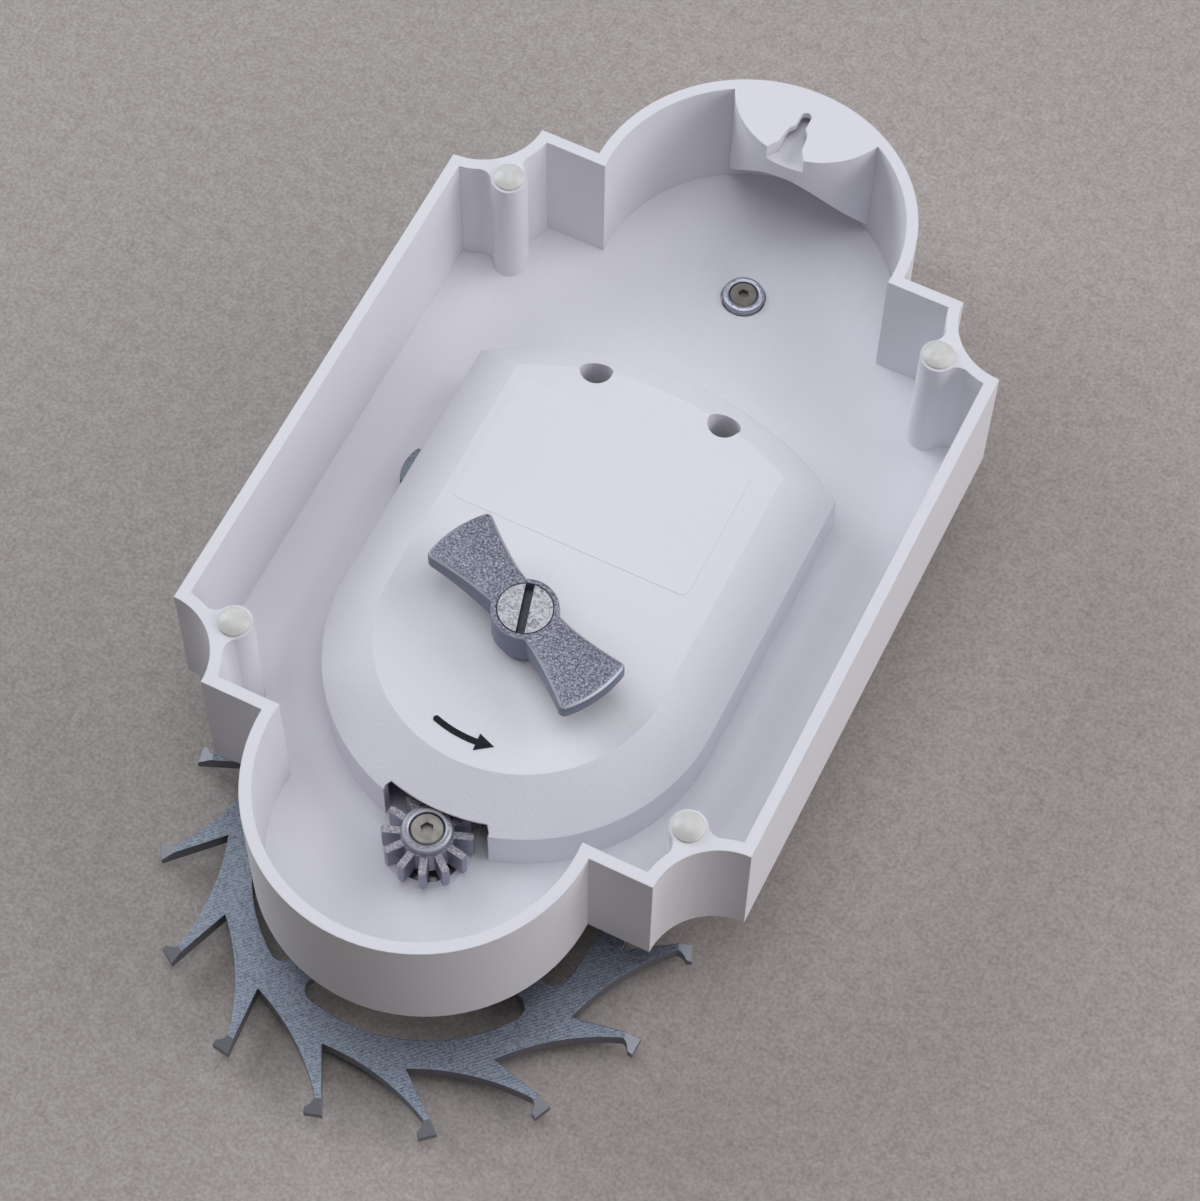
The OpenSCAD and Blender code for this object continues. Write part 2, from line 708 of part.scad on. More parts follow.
// A parallel leaf with a rounded point
module leaf_plan() {
    round_r = leaf_t * 0.75;
    flank_r = pinion_tip_r - 1.3;
    translate([0, -leaf_t / 2]) square([flank_r, leaf_t]);
    intersection() {
        translate([pinion_tip_r - round_r, 0]) circle(r = round_r);
        translate([flank_r - overlap, -leaf_t / 2]) square([2, leaf_t]);
    }
}

module escape_pinion() {
    hub_r = 6.1;
    collar_r = 1.05;
    z_hub = z_leaf + leaf_h;
    z_collar = z_pinion_top - collar_r;
    z_seat = z_pinion_top - screw_sink - head_h;
    z_bear_top = z_escape_bear + escape_bear_h;
    color(silver) placed() translate([0, y_escape, 0]) difference() {
        union() {
            translate([0, 0, z_bear_top]) cylinder(r = 4.5, h = z_leaf - z_bear_top + overlap);
            translate([0, 0, z_leaf]) linear_extrude(leaf_h) {
                circle(r = pinion_root_r);
                for (k = [0:pinion_leaves - 1]) rotate([0, 0, pinion_turn + k * 360 / pinion_leaves]) leaf_plan();
            }
            translate([0, 0, z_hub - overlap]) cylinder(r = hub_r, h = z_collar - z_hub + overlap);
            translate([0, 0, z_collar]) rotate_extrude() translate([hub_r - 0.95, 0]) circle(r = collar_r);
        }
        translate([0, 0, z_bear_top - 1]) cylinder(r = escape_bear_bore, h = 2);
        cylinder(r = screw_r, h = z_rim);
        translate([0, 0, z_seat]) cylinder(r = head_r + head_fit, h = head_h + 2);
    }
}

module escape_screw() {
    z_seat = z_pinion_top - screw_sink - head_h;
    color(steel) placed() translate([0, y_escape, z_seat]) socket_screw(z_seat - 1, head_r, hex_af);
}

module escape_nut() {
    color(steel) placed() translate([0, y_escape, z_wheel - 3.2]) difference() {
        cylinder(r = 3.5 / cos(30), h = 3.2, $fn = 6);
        translate([0, 0, -1]) cylinder(r = screw_r, h = 6);
    }
}

// Great wheel and click

// Points of one wheel tooth, from its root up one flank and down the other
function great_tooth(turn) =
    let (base_r = great_pitch_r * cos(20),
         half_t = 1.75 / 2 / great_pitch_r * 180 / PI + involute(base_r, great_pitch_r),
         flank = [for (i = [0:3]) great_root_r + (great_tip_r - great_root_r) * i / 3],
         halves = [for (r = flank) half_t - involute(base_r, r)])
    concat([for (i = [0:3]) flank[i] * [cos(turn - halves[i]), sin(turn - halves[i])]],
           [for (i = [3:-1:0]) flank[i] * [cos(turn + halves[i]), sin(turn + halves[i])]]);

module great_wheel() {
    color(silver) placed() translate([0, y_wind, z_great]) difference() {
        linear_extrude(great_t)
            polygon([for (k = [0:great_teeth - 1]) each great_tooth(great_turn + k * 360 / great_teeth)]);
        translate([0, 0, -1]) cylinder(r = arbor_r + run_fit, h = great_t + 2);
        translate([0, 0, great_t - pocket_depth]) cylinder(r = 32, h = great_t);
        rotate([0, 0, click_turn]) {
            translate([click_pivot_r, 0, 1]) cylinder(r = click_pin_r, h = great_t);
            translate([28.6, 8.6, 1]) cylinder(r = 1.2, h = great_t);
        }
    }
}

// Click that drops behind the ratchet teeth, drawn at the top of its ride over them
module click() {
    tip_r = ratchet_r + gap;
    tip = tip_r * [cos(click_tip_turn), sin(click_tip_turn)];
    back = (tip_r + 2.6) * [cos(click_tip_turn - 2), sin(click_tip_turn - 2)];
    color(silver) placed() translate([0, y_wind, z_ratchet]) rotate([0, 0, click_turn]) difference() {
        union() {
            translate([click_pivot_r, 0, 0]) cylinder(r = 3.4, h = ratchet_h);
            linear_extrude(ratchet_h)
                polygon([[click_pivot_r - 3.2, -0.6], [click_pivot_r + 2.2, 2.6], back, tip]);
        }
        translate([click_pivot_r, 0, -1]) cylinder(r = click_pin_r + run_fit, h = ratchet_h + 2);
    }
}

module click_pin() {
    color(steel) placed() translate([0, y_wind, z_great + 1]) rotate([0, 0, click_turn])
        translate([click_pivot_r, 0, 0]) cylinder(r = click_pin_r, h = great_t - 1.2);
}

// Leaf spring on a pin, just behind the click
module click_spring() {
    color(steel) placed() translate([0, y_wind, 0]) rotate([0, 0, click_turn]) {
        translate([28.6, 8.6, z_great + 1]) cylinder(r = 1.2, h = great_t - 1.3);
        translate([0, 0, z_ratchet]) linear_extrude(ratchet_h - 0.3)
            polygon([[28.6, 9.2], [28.4, 8], [23, 7.4], [19.5, 11.4], [20, 11.8], [23.2, 8]]);
    }
}

// Winding arbor, ratchet and key

module winding_arbor() {
    slot_turn = 106;
    color(silver) placed() translate([0, y_wind, 0]) difference() {
        union() {
            translate([0, 0, z_plate - 2.5 + gap]) cylinder(r = journal_r, h = z_floor - z_plate + 2.5 + overlap);
            translate([0, 0, z_floor + gap]) cylinder(r = arbor_r, h = z_arbor_top - z_floor - gap);
        }
        translate([0, 0, z_arbor_top - 3]) rotate([0, 0, slot_turn])
            translate([-arbor_r - 1, -1.1, 0]) cube([2 * arbor_r + 2, 2.2, 4]);
    }
}

module ratchet_wheel() {
    root_r = ratchet_r - 2.6;
    step = 360 / ratchet_teeth;
    color(silver) placed() translate([0, y_wind, z_ratchet]) difference() {
        linear_extrude(ratchet_h) polygon([for (k = [0:ratchet_teeth - 1])
            each [ratchet_r * [cos(k * step), sin(k * step)],
                  root_r * [cos(k * step + 1.5), sin(k * step + 1.5)]]]);
        translate([0, 0, -1]) cylinder(r = arbor_r, h = ratchet_h + 2);
    }
}

// Bow-tie key: its wings get thinner from below towards the tips
module winding_key() {
    tip_r = key_len / 2;
    root_t = 7.5;
    tip_t = 4.5;
    z_key = z_arbor_top - 9.8;
    // Hollow side of a wing: a large circle past the waist and the tip corner
    waist = [key_hub_r - 1.5, key_waist_w / 2];
    corner = [tip_r, key_tip_w / 2];
    side = corner - waist;
    hollow = 0.6;
    hollow_r = side * side / (8 * hollow) + hollow / 2;
    hollow_at = (waist + corner) / 2 + (hollow_r - hollow) * [-side[1], side[0]] / norm(side);
    color(silver) placed() translate([0, y_wind, 0]) rotate([0, 0, key_turn]) difference() {
        union() {
            translate([0, 0, z_key]) cylinder(r = key_hub_r, h = z_arbor_top - z_key);
            intersection() {
                translate([0, 0, z_key]) linear_extrude(z_arbor_top - z_key) difference() {
                    circle(r = tip_r);
                    for (mx = [0, 1], my = [0, 1]) mirror([mx, 0]) mirror([0, my]) intersection() {
                        translate(hollow_at) circle(r = hollow_r);
                        translate([-overlap, 0]) square([tip_r + 5, tip_r + 5]);
                    }
                }
                rotate([90, 0, 0]) translate([0, 0, -key_tip_w]) linear_extrude(2 * key_tip_w)
                    polygon([[-tip_r, z_arbor_top], [-tip_r, z_arbor_top - tip_t],
                             [-key_hub_r, z_arbor_top - root_t], [key_hub_r, z_arbor_top - root_t],
                             [tip_r, z_arbor_top - tip_t], [tip_r, z_arbor_top]]);
            }
        }
        translate([0, 0, z_key - 1]) cylinder(r = arbor_r, h = z_arbor_top);
    }
}

// Lever with its pallets

// Moves a stone to its place on the pallet: side is -1 or 1
module at_stone(side) {
    contact = heel_r - stone_bite;
    tilt = side > 0 ? 12 : -8;
    translate([side * contact * sin(30), y_escape + contact * cos(30), 0])
        rotate([0, 0, -side * 30 + tilt]) children();
}

module stone_block() {
    translate([-stone_w / 2, 0, z_wheel - gap - stone_h]) cube([stone_w, stone_l, stone_h]);
}

module lever() {
    fork_y = y_pallet + fork_reach;
    notch_w = 3.4;
    color(silver) placed() difference() {
        union() {
            translate([0, 0, z_lever]) linear_extrude(lever_t) {
                translate([0, y_pallet]) circle(r = 9);
                // Arm towards the balance
                polygon([[-arm_half_w, y_pallet], [arm_half_w, y_pallet], [arm_half_w, y_pallet + 40],
                         [2.8, fork_y - 9], [-2.8, fork_y - 9], [-arm_half_w, y_pallet + 40]]);
                // Arms that hold the stones
                for (side = [-1, 1])
                    polygon([[side * -2, y_pallet + 8], [side * 20, y_pallet + 5], [side * 45, y_pallet - 4],
                             [side * 48.5, y_pallet - 13], [side * 43, y_pallet - 17], [side * 33, y_pallet - 12.5],
                             [side * 18, y_pallet - 6.5], [side * -2, y_pallet - 8]]);
            }
            // Thin fork with two horns
            translate([0, 0, z_lever]) linear_extrude(z_fork_top - z_lever) difference() {
                polygon([[-2.8, fork_y - 14], [2.8, fork_y - 14], [6.4, fork_y - 6], [6.4, fork_y + 3.4],
                         [4, fork_y + 2], [-4, fork_y + 2], [-6.4, fork_y + 3.4], [-6.4, fork_y - 6]]);
                translate([-notch_w / 2, fork_y - 4]) square([notch_w, 10]);
            }
        }
        translate([0, y_pallet, 0]) cylinder(r = post_shoulder_r + run_fit, h = z_floor);
        for (side = [-1, 1]) at_stone(side) stone_block();
    }
}

module pallet_stones() {
    color(ruby) placed() for (side = [-1, 1]) at_stone(side) stone_block();
}

// Guard pin under the fork
module guard_pin() {
    tip_y = y_balance - safety_r - 0.6;
    foot_y = y_pallet + fork_reach - 12;
    pin_r = 0.7;
    color(steel) placed() translate([0, foot_y, z_lever - pin_r])
        rotate([-90, 0, 0]) cylinder(r = pin_r, h = tip_y - foot_y);
}

// Shouldered screw on which the lever swings
module lever_post() {
    z_boss = z_lever_back + 1.5;
    color(steel) placed() translate([0, y_pallet, 0]) difference() {
        union() {
            cylinder(r = 4.6, h = z_lever - gap);
            translate([0, 0, z_lever - gap - overlap]) cylinder(r = post_shoulder_r, h = z_boss - z_lever + gap + overlap);
            translate([0, 0, z_boss - overlap]) cylinder(r = screw_r, h = z_floor - 2 - z_boss);
        }
        translate([0, 0, -1]) cylinder(r = hex_af / 2 / cos(30), h = 2.4, $fn = 6);
    }
}

// Two pins that stop the lever at each side
module banking_posts() {
    color(steel) placed() for (sx = [-1, 1])
        translate([sx * banking_x, banking_y, z_lever]) cylinder(r = banking_r, h = z_plate + 1.9 - z_lever);
}

// Balance

module balance_wheel() {
    rim_w = 6;
    rim_h = balance_arm_t + 2;
    color(silver) placed() translate([0, y_balance, z_balance]) difference() {
        union() {
            ring(balance_r, balance_r - rim_w, rim_h);
            linear_extrude(balance_arm_t) {
                circle(r = 9);
                for (k = [0:2]) rotate([0, 0, 30 + k * 120])
                    translate([0, -3]) square([balance_r - rim_w + 1, 6]);
            }
        }
        translate([0, 0, -1]) cylinder(r = staff_r, h = rim_h + 2);
    }
}

module balance_staff() {
    color(steel) placed() translate([0, y_balance, 0.8]) difference() {
        cylinder(r = staff_r, h = z_balance_bear - 0.8);
        translate([0, 0, z_balance]) cylinder(r = screw_r, h = z_floor);
    }
}

// Table roller that carries the impulse pin, and small safety roller with its crescent
module double_roller() {
    safety_t = 1.4;
    color(silver) placed() translate([0, y_balance, 0]) difference() {
        union() {
            translate([0, 0, z_roller_low]) cylinder(r = roller_r, h = roller_t);
            translate([0, 0, z_lever - overlap]) cylinder(r = 5, h = z_roller_low - z_lever + 2 * overlap);
            difference() {
                translate([0, 0, z_lever - safety_t]) cylinder(r = safety_r, h = safety_t);
                translate([0, -safety_r - 2, 0]) cylinder(r = 4, h = z_floor);
            }
        }
        cylinder(r = staff_r, h = z_floor);
        translate([0, -impulse_r, 0]) cylinder(r = 1.2, h = z_floor);
    }
}

module impulse_pin() {
    color(ruby) placed() translate([0, y_balance - impulse_r, z_fork_top + gap])
        cylinder(r = 1.2, h = z_balance - z_fork_top - gap);
}

module hairspring_collet() {
    z_low = z_balance + balance_arm_t;
    color("goldenrod") placed() translate([0, y_balance, z_low])
        ring(4.6, staff_r, z_balance_bear - 0.4 - gap - z_low);
}

// Place of the hairspring stud on the plate
hairspring_out_r = 22;
hairspring_turn = 20;
stud_h = z_plate + 1.5 - z_hairspring + 0.2;
function hairspring_stud_at() =
    [hairspring_out_r * cos(hairspring_turn) + 2.7 * cos(hairspring_turn),
     y_balance + (hairspring_out_r + 2.7) * sin(hairspring_turn), z_hairspring - 0.2];

module hairspring_form() {
    strip_t = 0.5;
    in_r = 4.6 + 0.6;
    r_fun = function (u) in_r + (hairspring_out_r - in_r) * u;
    turn_fun = function (u) hairspring_turn + 360 * hairspring_turns * (u - 1);
    translate([0, y_balance, z_hairspring]) linear_extrude(hairspring_h)
        polygon(spiral(r_fun, turn_fun, 36 * hairspring_turns, strip_t));
}

module hairspring() {
    color([0.25, 0.3, 0.45]) placed() hairspring_form();
}

module hairspring_stud() {
    color("goldenrod") placed() difference() {
        translate(hairspring_stud_at()) translate([-2.5, -2.5, 0]) cube([5, 5, stud_h]);
        hairspring_form();
    }
}

// Domed ring at the back of the balance arbor
bush_dome_r = 0.95;
z_bush_seat = z_floor + 2 * bush_dome_r - 0.1 - head_h;

module balance_bush() {
    bush_r = 5.5;
    z_low = z_balance_bear + balance_bear_h;
    z_dome = z_floor + bush_dome_r;
    color(silver) placed() translate([0, y_balance, 0]) difference() {
        union() {
            translate([0, 0, z_low]) cylinder(r = 3.2, h = 0.4 + overlap);
            translate([0, 0, z_low + 0.4]) cylinder(r = bush_r, h = z_dome - z_low - 0.4);
            translate([0, 0, z_dome]) rotate_extrude() translate([bush_r - 0.9, 0]) circle(r = bush_dome_r);
        }
        cylinder(r = screw_r, h = z_rim);
        translate([0, 0, z_bush_seat]) cylinder(r = small_head_r + head_fit, h = head_h + 2);
    }
}

module balance_screw() {
    color(steel) placed() translate([0, y_balance, z_bush_seat])
        socket_screw(z_bush_seat - z_balance - 1.2, small_head_r, small_hex_af);
}

case_shell();
bumper_feet();
spring_cover();
cover_screws();
blank_label();
winding_arrow();
spring_anchor();
mainspring();
escape_bearing_outer();
escape_bearing_seal();
escape_bearing_balls();
escape_bearing_inner();
balance_bearing_outer();
balance_bearing_balls();
balance_bearing_inner();
lever_post();
banking_posts();
hairspring();
hairspring_stud();
escape_wheel();
escape_sleeve();
escape_pinion();
escape_screw();
escape_nut();
great_wheel();
click();
click_pin();
click_spring();
winding_arbor();
ratchet_wheel();
winding_key();
lever();
pallet_stones();
guard_pin();
balance_wheel();
balance_staff();
double_roller();
impulse_pin();
hairspring_collet();
balance_bush();
balance_screw();
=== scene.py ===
"""Looks of the escapement model: materials, rounded key, floor, light and camera."""

import json
import math

import bmesh
import bpy
from mathutils import Euler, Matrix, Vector


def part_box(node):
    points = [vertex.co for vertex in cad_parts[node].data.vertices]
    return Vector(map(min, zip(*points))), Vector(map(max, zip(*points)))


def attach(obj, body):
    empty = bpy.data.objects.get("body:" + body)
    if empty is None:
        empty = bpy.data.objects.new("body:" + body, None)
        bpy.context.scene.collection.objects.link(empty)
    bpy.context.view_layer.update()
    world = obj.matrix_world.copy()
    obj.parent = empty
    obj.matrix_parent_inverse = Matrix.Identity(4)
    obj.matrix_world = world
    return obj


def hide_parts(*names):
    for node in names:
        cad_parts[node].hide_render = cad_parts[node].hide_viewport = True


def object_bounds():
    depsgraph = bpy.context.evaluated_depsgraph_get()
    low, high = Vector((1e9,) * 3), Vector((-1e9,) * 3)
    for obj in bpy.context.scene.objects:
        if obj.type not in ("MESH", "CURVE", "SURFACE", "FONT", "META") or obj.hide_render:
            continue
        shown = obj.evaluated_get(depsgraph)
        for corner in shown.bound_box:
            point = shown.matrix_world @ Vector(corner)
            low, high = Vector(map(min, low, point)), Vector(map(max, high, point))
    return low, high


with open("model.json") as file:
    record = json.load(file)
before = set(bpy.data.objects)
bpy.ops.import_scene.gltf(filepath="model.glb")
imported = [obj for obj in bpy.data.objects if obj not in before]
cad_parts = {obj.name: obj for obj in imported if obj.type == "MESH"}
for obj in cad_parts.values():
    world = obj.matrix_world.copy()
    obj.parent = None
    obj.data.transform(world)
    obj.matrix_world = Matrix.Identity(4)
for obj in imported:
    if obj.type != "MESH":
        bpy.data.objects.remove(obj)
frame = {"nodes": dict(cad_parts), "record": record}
cad_low, cad_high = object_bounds()

MM = 0.001

# Camera, solved from the outline of the case in the photograph
CAMERA_AT = (0.179822, -0.363697, 0.769236)
CAMERA_TURN_DEG = (28.4702, -0.5431, 26.3031)
CAMERA_LENS_MM = 103.137
CAMERA_SENSOR_MM = 36.0
CAMERA_CLIP = (0.01, 20.0)

# Soft square lamps, all at one distance from the middle of the case: name, direction, watts and colour
LAMP_TARGET = (0.0, 0.0, 0.03)
LAMP_DISTANCE = 1.3
LAMP_SIZE = 0.9
LAMPS = (
    ("left_light", (-0.86, 0.14, 0.52), 9.6, (0.95, 1.0, 1.05)),
    ("top_light", (0.0, 0.0, 1.0), 5.8, (0.97, 1.0, 1.04)),
    ("right_light", (0.75, 0.55, 0.70), 5.5, (0.98, 1.0, 1.04)),
    ("fill_light", (0.97, -0.04, 0.36), 5.4, (1.0, 0.98, 0.98)),
)
WORLD_STRENGTH = 0.04
WORLD_COLOUR = (0.96, 0.98, 1.0, 1.0)

# Winding key, in metres
KEY_LENGTH = 56 * MM
KEY_TIP_WIDTH = 21 * MM
KEY_WAIST_WIDTH = 10.4 * MM
KEY_WAIST_INSET = 1.5 * MM
KEY_HUB_R = 8.2 * MM
KEY_BORE_R = 6.63 * MM
KEY_TURN_DEG = -25.5
KEY_SIDE_HOLLOW = 0.6 * MM
KEY_ROOT_T = 7.5 * MM
KEY_TIP_T = 4.5 * MM
KEY_EDGE_R = 1.5 * MM
KEY_HUB_EDGE_R = 0.5 * MM
KEY_EDGE_RUN = 4 * MM
KEY_CORNER_R = 1.6 * MM
KEY_LOW_EDGE = 0.4 * MM
KEY_GROOVE_W = 0.26 * MM
KEY_GROOVE_DEPTH = 1.0 * MM
KEY_HUB_OVERLAP = 0.6 * MM
KEY_GAP = 0.01 * MM
KEY_ROUND_POINTS = 64
KEY_SMOOTH_DEG = 35

# Slot in the end of the winding arbor, as depths below its top; shade is painted on its walls between these
# depths
SLOT_FLOOR = 3.2 * MM
SLOT_LIP = 0.4 * MM

# Colours, linear
WHITE = (0.785, 0.775, 0.82, 1.0)
WHITE_SHADE = (0.765, 0.75, 0.805, 1.0)
FILM = (0.78, 0.77, 0.815, 1.0)
WHEEL_LIGHT = (0.22, 0.255, 0.315, 1.0)
WHEEL_DARK = (0.08, 0.087, 0.116, 1.0)
WHEEL_EDGE = (0.15, 0.155, 0.18, 1.0)
WHEEL_SIDE = (0.18, 0.185, 0.22, 1.0)
KEY_LIGHT = (0.43, 0.46, 0.54, 1.0)
KEY_DARK = (0.075, 0.076, 0.115, 1.0)
# Painted highlight on the key's rounded edges, paler than any part of its faces
KEY_EDGE_HIGHLIGHT = (0.54, 0.565, 0.62, 1.0)
KEY_SIDE = (0.20, 0.225, 0.30, 1.0)
PINION_LIGHT = (0.52, 0.51, 0.56, 1.0)
PINION_DARK = (0.17, 0.165, 0.20, 1.0)
# Painted highlight on the sloped faces of the pinion, its collar among them
PINION_EDGE_HIGHLIGHT = (0.42, 0.435, 0.49, 1.0)
PINION_SIDE = (0.36, 0.355, 0.455, 1.0)
ARBOR_LIGHT = (0.45, 0.455, 0.49, 1.0)
ARBOR_DARK = (0.15, 0.155, 0.19, 1.0)
BUSH_LIGHT = (0.52, 0.54, 0.62, 1.0)
BUSH_DARK = (0.20, 0.21, 0.265, 1.0)
# Painted shade in the slot of the winding arbor
SLOT_PAINTED_SHADE = (0.05, 0.043, 0.043, 1.0)
STEEL = (0.20, 0.193, 0.18, 1.0)
BEARING_STEEL = (0.52, 0.52, 0.53, 1.0)
BLUED_STEEL = (0.10, 0.13, 0.22, 1.0)
RUBBER = (0.012, 0.012, 0.014, 1.0)
INK = (0.010, 0.014, 0.018, 1.0)
RUBY = (0.42, 0.015, 0.05, 1.0)
RUBY_SHADE = (0.30, 0.008, 0.03, 1.0)
BRASS = (0.62, 0.43, 0.16, 1.0)
SILICONE = (0.80, 0.785, 0.765, 1.0)
SILICONE_SHADE = (0.72, 0.705, 0.685, 1.0)
FLOOR_PALE = (0.48, 0.445, 0.427, 1.0)
FLOOR_FLECK = (0.31, 0.265, 0.245, 1.0)
FLOOR_LIT = (0.256, 0.238, 0.23, 1.0)
BACKDROP = (0.78, 0.76, 0.74, 1.0)

# Texture, as grains for each metre, the same all ways or along X, Y and Z
WHITE_LAYERS = (30, 30, 2600)
WHITE_LINES = (1500, 25, 25)
WHITE_SPECKS = 900.0
WHITE_CLOUDS = 18.0
COVER_GRAIN = 1250.0
SILVER_LAYERS = (25, 25, 3200)
SILVER_SPARKLE = 2600.0
SILVER_GRAIN = 1600.0
RASTER_CROSS = (1300, 1600, 700)
FOIL_CREASES = 620.0
METAL_CLOUDS = 420.0
TOOL_MARKS = (200, 200, 5200)
RUBBER_GRAIN = 1400.0
INK_GRAIN = 1900.0
FILM_GRAIN = 700.0
SILICONE_CLOUDS = 500.0
RUBY_CLOUDS = 650.0
FLOOR_FLECKS = 1100.0
FLOOR_MOTTLE = 240.0

# Distance between the laid lines on rastered faces
RASTER_PERIOD = 0.78 * MM

# Floor, in metres: half its width, its gap below the lowest piece, and the fade into the backdrop
FLOOR_HALF = 3.0
FLOOR_DROP = 0.2 * MM
FADE_FROM = 0.45
FADE_TO = 2.6
FADE_SPEED = 8.0


# Shader helpers

def new_material(name):
    """A fresh material with its node tree and its main shader."""
    material = bpy.data.materials.new(name)
    material.use_nodes = True
    tree = material.node_tree
    return material, tree, tree.nodes["Principled BSDF"]


def add(tree, kind, **settings):
    """A new node with its settings."""
    made = tree.nodes.new(kind)
    for name, value in settings.items():
        setattr(made, name, value)
    return made


def feed(tree, value, socket):
    """Gives a socket a wire or a plain number."""
    if hasattr(value, "is_linked"):
        tree.links.new(value, socket)
    else:
        socket.default_value = value


def calc(tree, operation, first, second=0.0):
    """One step of arithmetic on two numbers or wires."""
    step = add(tree, "ShaderNodeMath", operation=operation)
    feed(tree, first, step.inputs[0])
    feed(tree, second, step.inputs[1])
    return step.outputs[0]


def weigh(tree, first, share, second):
    """Sum of two wires, the first at its share and the second at the rest."""
    rest = calc(tree, "MULTIPLY", second, 1.0 - share)
    return calc(tree, "ADD", calc(tree, "MULTIPLY", first, share), rest)


def scaled(colour, share):
    """A colour made darker or paler."""
    return tuple(share * part for part in colour[:3]) + (1.0,)


def place(tree):
    """Position on the object, in metres."""
    return add(tree, "ShaderNodeTexCoord").outputs["Object"]


def stretched(tree, scale, turn=0.0):
    """Position multiplied along each axis, and turned about the upright axis."""
    mapping = add(tree, "ShaderNodeMapping")
    mapping.inputs["Scale"].default_value = scale
    mapping.inputs["Rotation"].default_value = (0.0, 0.0, turn)
    tree.links.new(place(tree), mapping.inputs["Vector"])
    return mapping.outputs[0]


def noise(tree, vector, scale, detail=2.0, roughness=0.5, distortion=0.0):
    """Soft noise from 0 to 1."""
    made = add(tree, "ShaderNodeTexNoise")
    made.inputs["Scale"].default_value = scale
    made.inputs["Detail"].default_value = detail
    made.inputs["Roughness"].default_value = roughness
    made.inputs["Distortion"].default_value = distortion
    tree.links.new(vector, made.inputs["Vector"])
    return made.outputs["Fac"]


def bands(tree, vector, period, axis="X", distortion=0.0):
    """Even ridges from 0 to 1, one in each period."""
    made = add(tree, "ShaderNodeTexWave", bands_direction=axis)
    made.inputs["Scale"].default_value = 2 * math.pi / (20 * period)
    made.inputs["Distortion"].default_value = distortion
    tree.links.new(vector, made.inputs["Vector"])
    return made.outputs["Fac"]


def blend(tree, factor, low, high, start=0.0, end=1.0):
    """Colour that runs from low to high while the factor runs from start to end."""
    ramp = add(tree, "ShaderNodeValToRGB")
    ramp.color_ramp.elements[0].position = start
    ramp.color_ramp.elements[0].color = low
    ramp.color_ramp.elements[1].position = end
    ramp.color_ramp.elements[1].color = high
    tree.links.new(factor, ramp.inputs["Fac"])
    return ramp.outputs["Color"]


def spread(tree, factor, low, high):
    """Number from low to high while the factor runs from 0 to 1."""
    made = add(tree, "ShaderNodeMapRange")
    made.inputs["To Min"].default_value = low
    made.inputs["To Max"].default_value = high
    tree.links.new(factor, made.inputs["Value"])
    return made.outputs[0]


def flat_share(tree, start=0.93, end=0.98):
    """1 on level faces and 0 on upright ones."""
    normal = add(tree, "ShaderNodeTexCoord").outputs["Normal"]
    parts = add(tree, "ShaderNodeSeparateXYZ")
    tree.links.new(normal, parts.inputs[0])
    made = add(tree, "ShaderNodeMapRange", interpolation_type="SMOOTHSTEP")
    made.inputs["From Min"].default_value = start
    made.inputs["From Max"].default_value = end
    tree.links.new(calc(tree, "ABSOLUTE", parts.outputs["Z"]), made.inputs["Value"])
    return made.outputs[0]


def relief(tree, shader, height, depth, edge=0.0):
    """Bumps of a given depth, on edges that look rounded to a small radius, both in metres."""
    bump = add(tree, "ShaderNodeBump")
    bump.inputs["Distance"].default_value = depth
    tree.links.new(height, bump.inputs["Height"])
    if edge:
        soft = add(tree, "ShaderNodeBevel", samples=4)
        soft.inputs["Radius"].default_value = edge
        tree.links.new(soft.outputs[0], bump.inputs["Normal"])
    tree.links.new(bump.outputs[0], shader.inputs["Normal"])


def between(tree, share, flat_value, upright_value):
    """One number on level faces and another on upright faces."""
    up = calc(tree, "MULTIPLY", upright_value, calc(tree, "SUBTRACT", 1.0, share))
    return calc(tree, "ADD", calc(tree, "MULTIPLY", flat_value, share), up)


# Materials

def white_print(name, grain_depth, raster, wall_share, flat_from):
    """White matt print: layer streaks on its walls, fine grain or laid lines on its level faces."""
    material, tree, shader = new_material(name)
    share = flat_share(tree, flat_from, flat_from + 0.05)
    streak = noise(tree, stretched(tree, WHITE_LAYERS), 1.0, 2.0)
    streak = calc(tree, "ADD", calc(tree, "MULTIPLY", streak, wall_share), 0.5 * (1 - wall_share))
    if raster:
        lines = noise(tree, stretched(tree, WHITE_LINES, math.radians(90)), 1.0, 1.0)
        grain = weigh(tree, lines, 0.6, noise(tree, place(tree), WHITE_SPECKS, 2.0))
    else:
        grain = noise(tree, place(tree), COVER_GRAIN, 3.0, 0.62)
    height = between(tree, share, grain, streak)
    tone = weigh(tree, noise(tree, place(tree), WHITE_CLOUDS, 3.0), 0.6, height)
    feed(tree, blend(tree, tone, WHITE_SHADE, WHITE, 0.38, 0.6), shader.inputs["Base Color"])
    feed(tree, spread(tree, height, 0.48, 0.66), shader.inputs["Roughness"])
    shader.inputs["Specular IOR Level"].default_value = 0.35
    relief(tree, shader, height, grain_depth, 0.35 * MM)
    return material


def pick(tree, share, low, high):
    """One colour where the share is 0 and another where it is 1."""
    mix = add(tree, "ShaderNodeMix", data_type="RGBA")
    tree.links.new(share, mix.inputs["Factor"])
    feed(tree, low, mix.inputs[6])
    feed(tree, high, mix.inputs[7])
    return mix.outputs[2]


